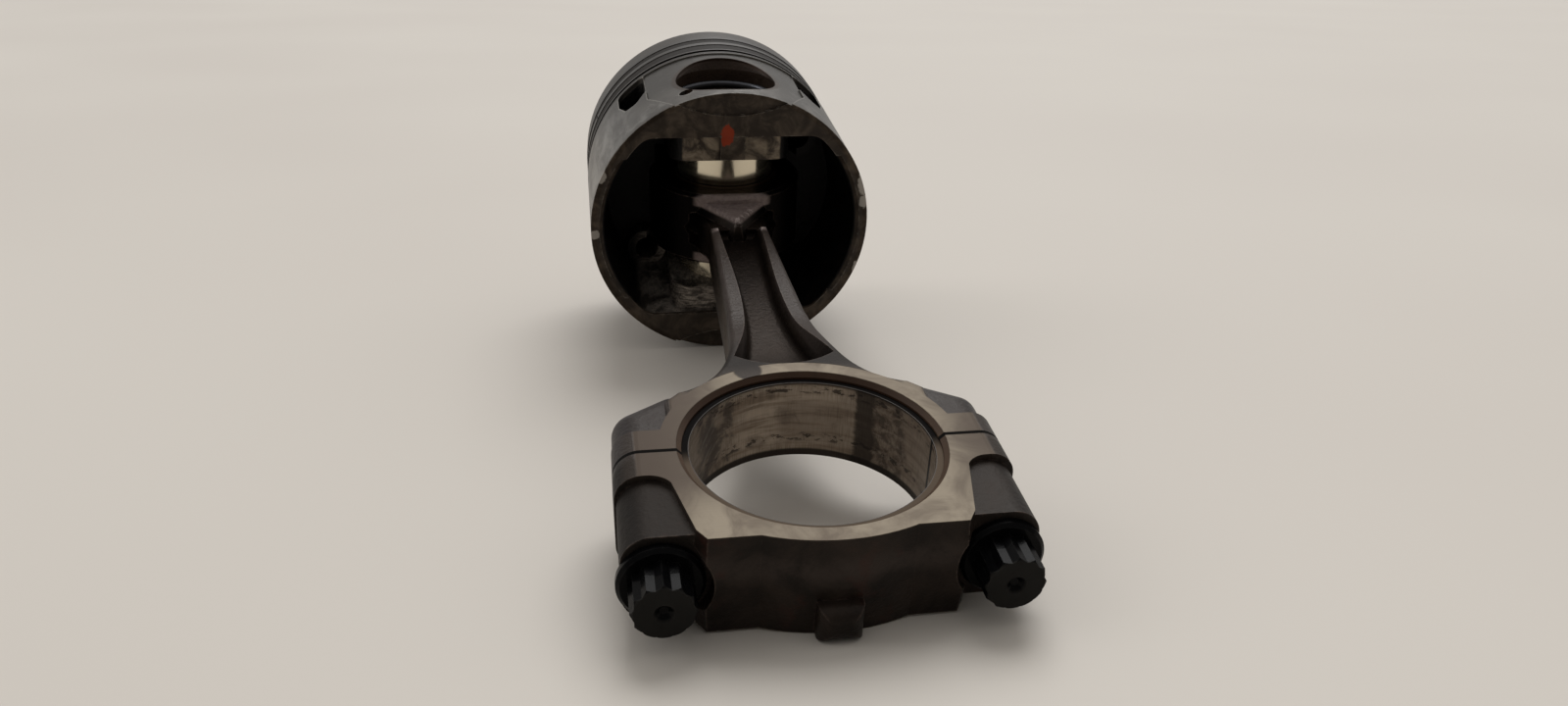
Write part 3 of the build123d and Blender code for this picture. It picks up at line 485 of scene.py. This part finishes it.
# %% Forging: where each finish lies
FACE_LEVEL = 10.5
FACE_RING_RADIUS = 29.8
HOUSING_RADIUS = 26.8
PAD_SPAN = (106.0, 124.5)
PAD_HALF_WIDTH = 14.5
forging, tree, shader, place, (x, y, z) = start("forged steel")
height = maths(tree, "ABSOLUTE", z)
side = maths(tree, "ABSOLUTE", x)
reach = radius(tree, x, y)
root = where_all(
    tree, rise(tree, reach, FACE_RING_RADIUS, FACE_RING_RADIUS + 0.3),
    below(tree, side, 21.0, 24.0), rise(tree, y, 8.0, 10.0),
)
gap = spot(tree, place, (-9.0, 27.6, 10.6), (2.9, 3.6, 3.0), 0.0)
face = rise(tree, height, FACE_LEVEL, FACE_LEVEL + 0.12)
ground = where_all(tree, face, opposite(tree, root), opposite(tree, gap))
forged = opposite(tree, ground)
housing = below(tree, reach, HOUSING_RADIUS - 0.2, HOUSING_RADIUS)
split = between(tree, y, -0.52, 0.46, 0.06)
print("masks of the machined places ready")

# %% [markdown]
# The forged skin has its own places: shoulders beside the bearing, pillars that the
# screws run in, the foot of the shank, its channel and two flanges, the small end, and
# the wedge-shaped pad next to it.

# %% Forging: the places of the skin
pad_side = below(tree, side, PAD_HALF_WIDTH - 2.0, PAD_HALF_WIDTH)
pad = where_all(tree, between(tree, y, *PAD_SPAN, 0.6), pad_side, rise(tree, height, 6.8, 7.6))
glint_edge = where_all(
    tree, near_edges(tree, 1.6), between(tree, y, PAD_SPAN[0], 118.5, 0.8), pad_side,
    rise(tree, height, 6.0, 7.0),
)
small_end = rise(tree, y, 112.0, 122.0)
channel = where_all(
    tree, below(tree, height, 4.0, 6.0), rise(tree, y, 31.0, 36.0), below(tree, y, 112.0, 118.0),
)
# a painted highlight along the tops of the flanges
flange_top_highlight = where_all(
    tree, rise(tree, height, 6.0, 7.3), rise(tree, y, 34.0, 44.0), below(tree, y, 108.0, 114.0),
)
foot = where_all(tree, between(tree, y, 26.0, 46.0, 5.0), below(tree, side, 20.0, 24.0), 0.7)
shoulder = where_all(tree, rise(tree, side, 25.0, 27.5), between(tree, y, -1.0, 24.0, 1.5))
pillar_shade_strength = number_range(tree, rise(tree, x, -4.0, 4.0), 0.90, 0.45)
pillar = where_all(tree, rise(tree, side, 24.0, 27.0), below(tree, y, -3.0, -1.0), pillar_shade_strength)
print("masks of the forged skin ready")

# %% [markdown]
# The skin is brown-black and oily. It turns a cooler grey on the shoulders, where shot was
# blasted on, is darkest with painted shade in the channel and round the small end, and
# carries a painted highlight along the tops of the two flanges.

# %% Forging: the skin
cloud = noise(tree, place, 0.10, 6.0, 0.64, 0.4)
speckle = noise(tree, place, 0.9, 4.0, 0.62)
skin = two_tone(tree, rise(tree, cloud, 0.32, 0.70), (17, 13, 11), (42, 34, 29))
# painted shade in the channel, painted highlight on the flange tops
for zone, dark, light in (
    (where_all(tree, shoulder, 0.75), (28, 25, 27), (52, 48, 49)),
    (foot, (12, 9, 8), (30, 25, 22)),
    (where_all(tree, channel, 0.8), (10, 7, 6), (24, 17, 14)),
    (flange_top_highlight, (38, 32, 29), (64, 56, 52)),
):
    skin = lay(tree, skin, two_tone(tree, cloud, dark, light), zone)
print("forged skin ready")

# %% [markdown]
# The small end, black with oil and painted shade, frames the pad, which shot and rubbing
# left grey, with painted glints in grains along its front edges. Below, painted shade
# darkens the pillars, the left one most, and a painted highlight lies across the cap's
# end. Rust tints the cap's end, and the edges that hands and tools touch are bare.

# %% Forging: pad, pillars, rust and bare edges
SMALL_END_OIL_AND_SHADE, PAINTED_GLINT = (7, 6, 6), (206, 194, 190)
CAP_PAINTED_HIGHLIGHT, RUST, SKIN_BARE = (64, 56, 52), (60, 30, 24), (112, 98, 90)
# black oil and painted shade: the small end is painted near black
skin = lay(tree, skin, SMALL_END_OIL_AND_SHADE, small_end)
skin = lay(tree, skin, two_tone(tree, speckle, (60, 50, 49), (140, 126, 122)), pad)
# painted glints in grains along the pad's front edges
skin = lay(tree, skin, PAINTED_GLINT, glint_edge, rise(tree, speckle, 0.42, 0.60))
# painted shade: the pillars are darkened, the left one more
skin = lay(tree, skin, two_tone(tree, cloud, (10, 8, 7), (24, 20, 18)), pillar)
# a painted highlight in a band across the cap's end
cap_front = below(tree, y, -26.0, -22.0)
cap_painted_highlight = where_all(
    tree, cap_front, between(tree, z, 1.5, 6.0, 2.0), rise(tree, cloud, 0.34, 0.58), 0.45,
)
skin = lay(tree, skin, CAP_PAINTED_HIGHLIGHT, cap_painted_highlight)
rust_cloud = noise(tree, place, 0.13, 5.0, 0.6)
rust = where_all(tree, rise(tree, rust_cloud, 0.56, 0.70), below(tree, y, -20.0, -16.0), 0.35)
skin = lay(tree, skin, RUST, rust)
worn_edge = where_all(
    tree, near_edges(tree, 0.55), rise(tree, speckle, 0.35, 0.65),
    opposite(tree, in_corners(tree, 5.0)), 0.55,
)
skin = lay(tree, skin, SKIN_BARE, worn_edge)
print("details of the skin ready")

# %% [markdown]
# The ground faces are beige with brown smudges of burnt oil, and fine straight scratches
# cross them. Painted shade darkens them out on the shoulders, and oil smudges with painted
# shade darken them on the left. The housing of the bearing is bored clean and looks brown
# under its oil. A black line marks where the cap meets the rod.

# %% Forging: the ground faces, the bore and the split
SCRATCH, OUTER_PAINTED_SHADE, LEFT_OIL_AND_SHADE = (88, 80, 70), (54, 45, 38), (58, 49, 42)
SMALL_END_FACE_SHADE, FADED_SKIN, SPLIT_BLACK = (16, 13, 12), (54, 46, 40), (3, 3, 3)
grinding = drawn_out(tree, (x, 0.10), (y, 3.0), detail=3.0)
smudge = noise(tree, place, 0.075, 5.0, 0.6, 1.2)
# painted shade darkens the ground faces out on the shoulders
outer_shade = where_all(tree, rise(tree, side, 22.0, 34.0), rise(tree, y, -27.0, -19.0), 0.80)
# oil smudges and painted shade darken the ground faces on the left
left_smear_and_shade = where_all(
    tree, below(tree, x, -24.0, -10.0), rise(tree, y, -22.0, -8.0),
    rise(tree, smudge, 0.18, 0.46), 0.85,
)
ground_colour = two_tone(tree, rise(tree, smudge, 0.30, 0.66), (82, 73, 63), (122, 113, 99))
ground_colour = lay(tree, ground_colour, SCRATCH, rise(tree, grinding, 0.5, 0.75), 0.25)
ground_colour = lay(tree, ground_colour, OUTER_PAINTED_SHADE, outer_shade)
ground_colour = lay(tree, ground_colour, LEFT_OIL_AND_SHADE, left_smear_and_shade)
# painted shade on the ground faces of the small end
ground_colour = lay(tree, ground_colour, SMALL_END_FACE_SHADE, small_end, 0.9)
fading = where_all(
    tree, rise(tree, height, 8.4, FACE_LEVEL), below(tree, y, 26.0, 30.0),
    rise(tree, y, -26.0, -22.0), 0.6,
)
bored = where_all(tree, housing, below(tree, height, FACE_LEVEL, FACE_LEVEL + 0.1))
bored_colour = two_tone(tree, cloud, (44, 33, 27), (92, 74, 60))
rod_half_colour = two_tone(tree, cloud, (30, 20, 14), (66, 46, 34))
bored_colour = lay(tree, bored_colour, rod_half_colour, rise(tree, y, 2.0, 14.0), 0.85)
base = lay(tree, skin, FADED_SKIN, fading)
base = lay(tree, base, ground_colour, ground)
base = lay(tree, base, bored_colour, bored)
base = lay(tree, base, SPLIT_BLACK, split)
print("ground faces ready")

# %% [markdown]
# Oil makes the skin shine unevenly, so its roughness follows the stains. Relief is a coarse
# grain on the skin and almost nothing on the ground faces. The walls round the small end,
# black with oil and painted shade, count as metal, because a dark metal gives back little
# light at any angle.

# %% Forging: shine and relief
skin_shine = number_range(tree, cloud, 0.26, 0.54)
skin_shine = number_range(tree, maths(tree, "MAXIMUM", foot, pillar), skin_shine, 0.62)
shine = blend(tree, ground, skin_shine, number_range(tree, smudge, 0.40, 0.54))
shine = blend(tree, split, shine, grey(1.0))
black_wall = where_all(tree, small_end, forged, opposite(tree, pad), 0.95)
dark_metal = maths(tree, "MAXIMUM", black_wall, where_all(tree, channel, 0.60))
metal = maths(tree, "ADD", where_all(tree, ground, opposite(tree, split), 0.40), dark_metal)
fill(
    tree, shader, Base_Color=base, Roughness=shine, Metallic=metal,
    Specular_IOR_Level=0.16, Specular_Tint=(1.0, 0.90, 0.82, 1.0),
)
skin_grain = where_all(tree, speckle, forged, opposite(tree, bored))
face_lines = where_all(tree, grinding, ground, 0.05)
relief(tree, shader, maths(tree, "ADD", skin_grain, face_lines), 0.20)
put_on(["connecting_rod", "rod_cap"], forging)

# %% [markdown]
# ## The bearing shells
# A thin lining of soft metal runs on the crankpin. It wears to a grey-beige with fine
# hatching across the bore, and darkens in blotches where dirty oil has stood: a broad
# band on the right, streaks on the left and rows of specks along the edges. The angle
# round the bore, unrolled into millimetres, makes a flat map to paint on.

# %% Bearing lining: the map and its patterns
LINING_RADIUS = 24.0
lining, tree, shader, _, (x, y, z) = start("bearing lining")
angle = maths(tree, "ARCTAN2", y, x)
arc = maths(tree, "MULTIPLY", angle, LINING_RADIUS)
degrees_round = maths(tree, "MULTIPLY", angle, 180 / math.pi)
flat_map = stretched(tree, arc, z)
hatch = drawn_out(tree, (arc, 4.5), (z, 0.22), detail=3.0, roughness=0.5)
bands = drawn_out(tree, (arc, 0.05), (z, 0.55))
swirl = noise(tree, flat_map, 0.40, 8.0, 0.72, 0.5)
patch = noise(tree, flat_map, 0.14, 5.0, 0.62, 0.8)
wavy = maths(tree, "ADD", degrees_round, number_range(tree, patch, -7.0, 7.0))
print("lining map ready")

# %% [markdown]
# The zones of wear are spans of the angle: 0 degrees is on the right, 90 is towards the
# piston. Each has two limits and the softness of its edges.

# %% Bearing lining: wear
CLEAN_SPAN, POLISHED_SPAN, STAIN_SPAN = (56.0, 128.0, 16.0), (68.0, 118.0, 9.0), (62.0, 96.0, 6.0)
HATCH, SIDE_FILM, POLISHED = (84, 71, 60), (84, 72, 62), (206, 190, 172)
CENTRE_STAIN, CLOUDY_STAIN = (96, 82, 70), (84, 74, 66)
side_film = where_all(tree, opposite(tree, between(tree, degrees_round, *CLEAN_SPAN)), 0.55)
polished = where_all(
    tree, between(tree, degrees_round, *POLISHED_SPAN),
    below(tree, maths(tree, "ABSOLUTE", z), 5.0, 7.5), rise(tree, bands, 0.34, 0.56), 0.55,
)
centre_stain = where_all(
    tree, between(tree, degrees_round, *STAIN_SPAN), between(tree, z, -6.0, 5.0, 2.0), 0.45,
)
worn = two_tone(tree, rise(tree, bands, 0.36, 0.62), (146, 130, 114), (184, 170, 153))
worn = lay(tree, worn, HATCH, rise(tree, hatch, 0.40, 0.70), 0.45)
worn = lay(tree, worn, SIDE_FILM, side_film)
worn = lay(tree, worn, POLISHED, polished)
worn = lay(tree, worn, CENTRE_STAIN, centre_stain)
worn = lay(tree, worn, CLOUDY_STAIN, rise(tree, patch, 0.54, 0.70), 0.40)
print("lining wear ready")

# %% [markdown]
# Blotches, streaks and specks come on top. Their spans are read from an angle that a
# cloudy pattern bends by a few degrees, so no edge runs straight.

# %% Bearing lining: blotches, streaks and specks
MOTTLED_SPAN, BAND_SPAN = (26.0, 47.0, 1.5), (46.0, 57.0, 1.2)
BLOTCH_SPAN, STREAK_SPAN = (124.0, 153.0, 2.0), (126.0, 156.0, 3.0)
MOTTLE_DARK, MOTTLE_LIGHT, DARK_BAND = (58, 50, 44), (136, 126, 112), (46, 39, 34)
LEFT_BLOTCH, STREAK, SPECK, LIP = (58, 52, 48), (150, 144, 134), (34, 28, 24), (24, 17, 13)
mottled = between(tree, wavy, *MOTTLED_SPAN)
left_blotch = where_all(tree, between(tree, wavy, *BLOTCH_SPAN), rise(tree, patch, 0.42, 0.58))
slanted = maths(tree, "ADD", arc, maths(tree, "MULTIPLY", z, 1.1))
streak_place = stretched(tree, slanted, maths(tree, "MULTIPLY", z, 0.15))
streaks = rise(tree, noise(tree, streak_place, 0.75, 4.0, 0.6), 0.56, 0.64)
specks = rise(tree, drawn_out(tree, (arc, 0.42), (z, 0.85), roughness=0.66), 0.52, 0.58)
speck_rows = maths(
    tree, "ADD", between(tree, z, 6.6, 8.4, 0.4), between(tree, z, -5.4, -3.4, 0.5),
)
lip = maths(tree, "MAXIMUM", rise(tree, z, 8.5, 9.1), below(tree, z, -7.8, -7.2))
worn = lay(tree, worn, MOTTLE_DARK, mottled, below(tree, swirl, 0.42, 0.60), 0.75)
worn = lay(tree, worn, MOTTLE_LIGHT, mottled, rise(tree, swirl, 0.54, 0.66), 0.5)
worn = lay(tree, worn, DARK_BAND, between(tree, wavy, *BAND_SPAN), 0.85)
worn = lay(tree, worn, LEFT_BLOTCH, left_blotch, 0.75)
worn = lay(tree, worn, STREAK, streaks, between(tree, wavy, *STREAK_SPAN), 0.45)
worn = lay(tree, worn, SPECK, specks, speck_rows, 0.8)
worn = lay(tree, worn, LIP, lip, 0.92)
print("lining marks ready")

# %% [markdown]
# Only the inner face of a shell carries this wear. Its ends and its back stay plain, and are
# near black on the rod's side. A thin black line shows where the halves part.

# %% Bearing lining: join and put on
PARTING_BLACK = (3, 3, 3)
inside = below(tree, radius(tree, x, y), LINING_RADIUS + 0.1, LINING_RADIUS + 0.2)
hidden = blend(tree, rise(tree, y, -4.0, 2.0), linear(96, 84, 72), linear(12, 9, 8))
parting = where_all(tree, between(tree, y, -0.60, 0.50, 0.08), inside)
base = lay(tree, hidden, worn, inside)
base = lay(tree, base, PARTING_BLACK, parting)
fill(
    tree, shader, Base_Color=base, Metallic=number_range(tree, inside, 0.90, 0.35),
    Roughness=blend(tree, inside, grey(0.8), number_range(tree, swirl, 0.30, 0.55)),
    Specular_IOR_Level=0.25,
)
relief(tree, shader, maths(tree, "ADD", hatch, swirl), 0.015)
put_on(["upper_bearing_shell", "lower_bearing_shell"], lining)

# %% [markdown]
# ## Screws, pin, rings and clips
# These are hard steels. The screws are blackened and wet with oil: a clear coat over a
# dark base gives the small sharp glints, and the flat end of each head is drier and grey.

# %% Cap screws
HEAD_END_LEVEL = -33.0
SCREW_BARE = (62, 61, 60)
screw_steel, tree, shader, place, (_, y, _) = start("oily black steel")
stains = noise(tree, place, 0.35, 5.0, 0.6)
dry_end = below(tree, y, HEAD_END_LEVEL, HEAD_END_LEVEL + 0.3)
base = two_tone(tree, stains, (3, 3, 4), (11, 11, 12))
base = lay(tree, base, two_tone(tree, stains, (22, 21, 20), (34, 33, 31)), dry_end)
base = lay(tree, base, SCREW_BARE, near_edges(tree, 0.35), rise(tree, stains, 0.40, 0.60), 0.22)
fill(
    tree, shader, Base_Color=base,
    Roughness=blend(tree, dry_end, number_range(tree, stains, 0.14, 0.42), grey(0.62)),
    Specular_IOR_Level=0.03, Coat_Weight=0.07, Coat_Roughness=0.04,
)
relief(tree, shader, stains, 0.10)
put_on(["rod_bolt_left", "rod_bolt_right"], screw_steel)

# %% [markdown]
# The pin is ground bright. Only a strip of it shows between the piston's boss and the small
# end, and next to the bush that strip turns brown in a band. Its two end faces are duller.

# %% Wrist pin
PIN_END_LEVEL = 26.0
BROWN_BAND_SPAN, BROWN_BAND = (9.0, 12.3, 0.5), (66, 50, 34)
pin_steel, tree, shader, place, (_, _, z) = start("ground pin steel")
height = maths(tree, "ABSOLUTE", z)
fine_rings = drawn_out(tree, (z, 3.0))
stains = noise(tree, place, 0.4, 5.0, 0.6)
brown_band = where_all(
    tree, between(tree, height, *BROWN_BAND_SPAN), number_range(tree, stains, 0.55, 1.0),
)
pin_end = rise(tree, height, PIN_END_LEVEL - 0.4, PIN_END_LEVEL)
base = two_tone(tree, fine_rings, (200, 190, 168), (232, 222, 200))
base = lay(tree, base, BROWN_BAND, brown_band)
base = lay(tree, base, two_tone(tree, stains, (66, 60, 53), (112, 104, 94)), pin_end)
roughness = blend(
    tree, pin_end, number_range(tree, stains, 0.10, 0.22), number_range(tree, stains, 0.45, 0.60),
)
fill(tree, shader, Base_Color=base, Roughness=roughness, Metallic=0.95)
relief(tree, shader, fine_rings, 0.002)
put_on(["wrist_pin"], pin_steel)

# %% [markdown]
# The smaller pieces share one recipe: cloudy stains between a darker and a lighter colour,
# an uneven shine, and rubbed edges.

# %% Rings, clips and bush
def stained_metal(name, dark, light, roughness, metallic, scale):
    """A metal finish with cloudy stains, from a darker to a lighter screen colour."""
    made, tree, shader, place, _ = start(name)
    stains = noise(tree, place, scale, 5.0, 0.6)
    rubbed = tuple(min(1.0, 2.0 * channel) for channel in linear(*light))
    base = two_tone(tree, stains, dark, light)
    base = blend(tree, where_all(tree, near_edges(tree, 0.2), 0.4), base, rubbed)
    shine = number_range(tree, stains, roughness * 0.7, roughness * 1.3)
    fill(tree, shader, Base_Color=base, Roughness=shine, Metallic=metallic)
    relief(tree, shader, stains, 0.02)
    return made


ring_iron = stained_metal("ring iron", (24, 22, 20), (56, 52, 49), 0.40, 0.6, 0.2)
put_on(["top_ring", "second_ring", "oil_ring"], ring_iron)
spring_steel = stained_metal("spring steel", (60, 61, 66), (104, 106, 112), 0.30, 0.8, 0.4)
put_on(["circlip_upper", "circlip_lower", "oil_ring_expander"], spring_steel)
bush_bronze = stained_metal("bush bronze", (48, 34, 22), (84, 62, 40), 0.35, 0.7, 0.2)
put_on(["small_end_bush"], bush_bronze)

# %% [markdown]
# ## The bench and the light
# A pale sheet under the part keeps the picture quiet and takes its shadow. It is so wide
# that its edge is never seen, and its tone wanders only slightly.

# %% The pale floor
FLOOR_HALF = 40.0
floor_data = bpy.data.meshes.new("floor")
turns = ((-1, -1), (1, -1), (1, 1), (-1, 1))
corners = [(across * FLOOR_HALF, along * FLOOR_HALF, 0) for across, along in turns]
floor_data.from_pydata(corners, [], [(0, 1, 2, 3)])
floor = bpy.data.objects.new("floor", floor_data)
floor.location.z = bench_level
bpy.context.scene.collection.objects.link(floor)
paper, tree, shader, place, _ = start("pale sheet")
tone = noise(tree, place, 0.003, 2.0, 0.4)
base = two_tone(tree, tone, (197, 190, 182), (208, 203, 195))
fill(tree, shader, Base_Color=base, Roughness=number_range(tree, tone, 0.55, 0.75))
relief(tree, shader, noise(tree, place, 0.5, 2.0, 0.5), 0.004)
floor_data.materials.append(paper)
print("floor at mm:", round(bench_level * MM, 2))

# %% [markdown]
# The key light is a wide soft sun from above and behind, which draws the long highlights
# on the ground faces. A second, weaker one from the left keeps the piston's flank legible.

# %% The lamps
def soft_sun(name, place, width, strength):
    """A distant lamp that shines from a place towards the part; width is in degrees."""
    data = bpy.data.lights.new(name, "SUN")
    data.angle = math.radians(width)
    data.energy = strength
    made = bpy.data.objects.new(name, data)
    made.location = place
    made.rotation_euler = Vector(place).to_track_quat("Z", "Y").to_euler()
    bpy.context.scene.collection.objects.link(made)
    print(name, "ready")


soft_sun("overhead lamp", (0.20, 0.55, 0.90), width=42.0, strength=1.55)
soft_sun("side lamp", (-0.80, 0.10, 0.55), width=30.0, strength=0.30)

# %% [markdown]
# The surroundings are bright overhead and dim towards the front, as in a workshop with a
# lamp above the bench, and that dim side is what keeps the oily faces dark.

# %% The surroundings
world = bpy.data.worlds.new("workshop")
world.use_nodes = True
bpy.context.scene.world = world
tree = world.node_tree
looking = add(tree, "SeparateXYZ", Vector=add(tree, "TexCoord").outputs["Generated"]).outputs
behind = maths(tree, "MULTIPLY", looking[1], 0.55)
overhead = maths(tree, "MULTIPLY", looking[2], 0.75)
bright = rise(tree, maths(tree, "ADD", behind, overhead), -0.45, 0.85)
room = two_tone(tree, bright, (108, 106, 103), (226, 223, 219))
fill(tree, tree.nodes["Background"], Color=room, Strength=0.86)
bpy.context.scene.view_settings.view_transform = "Standard"
print("surroundings ready")
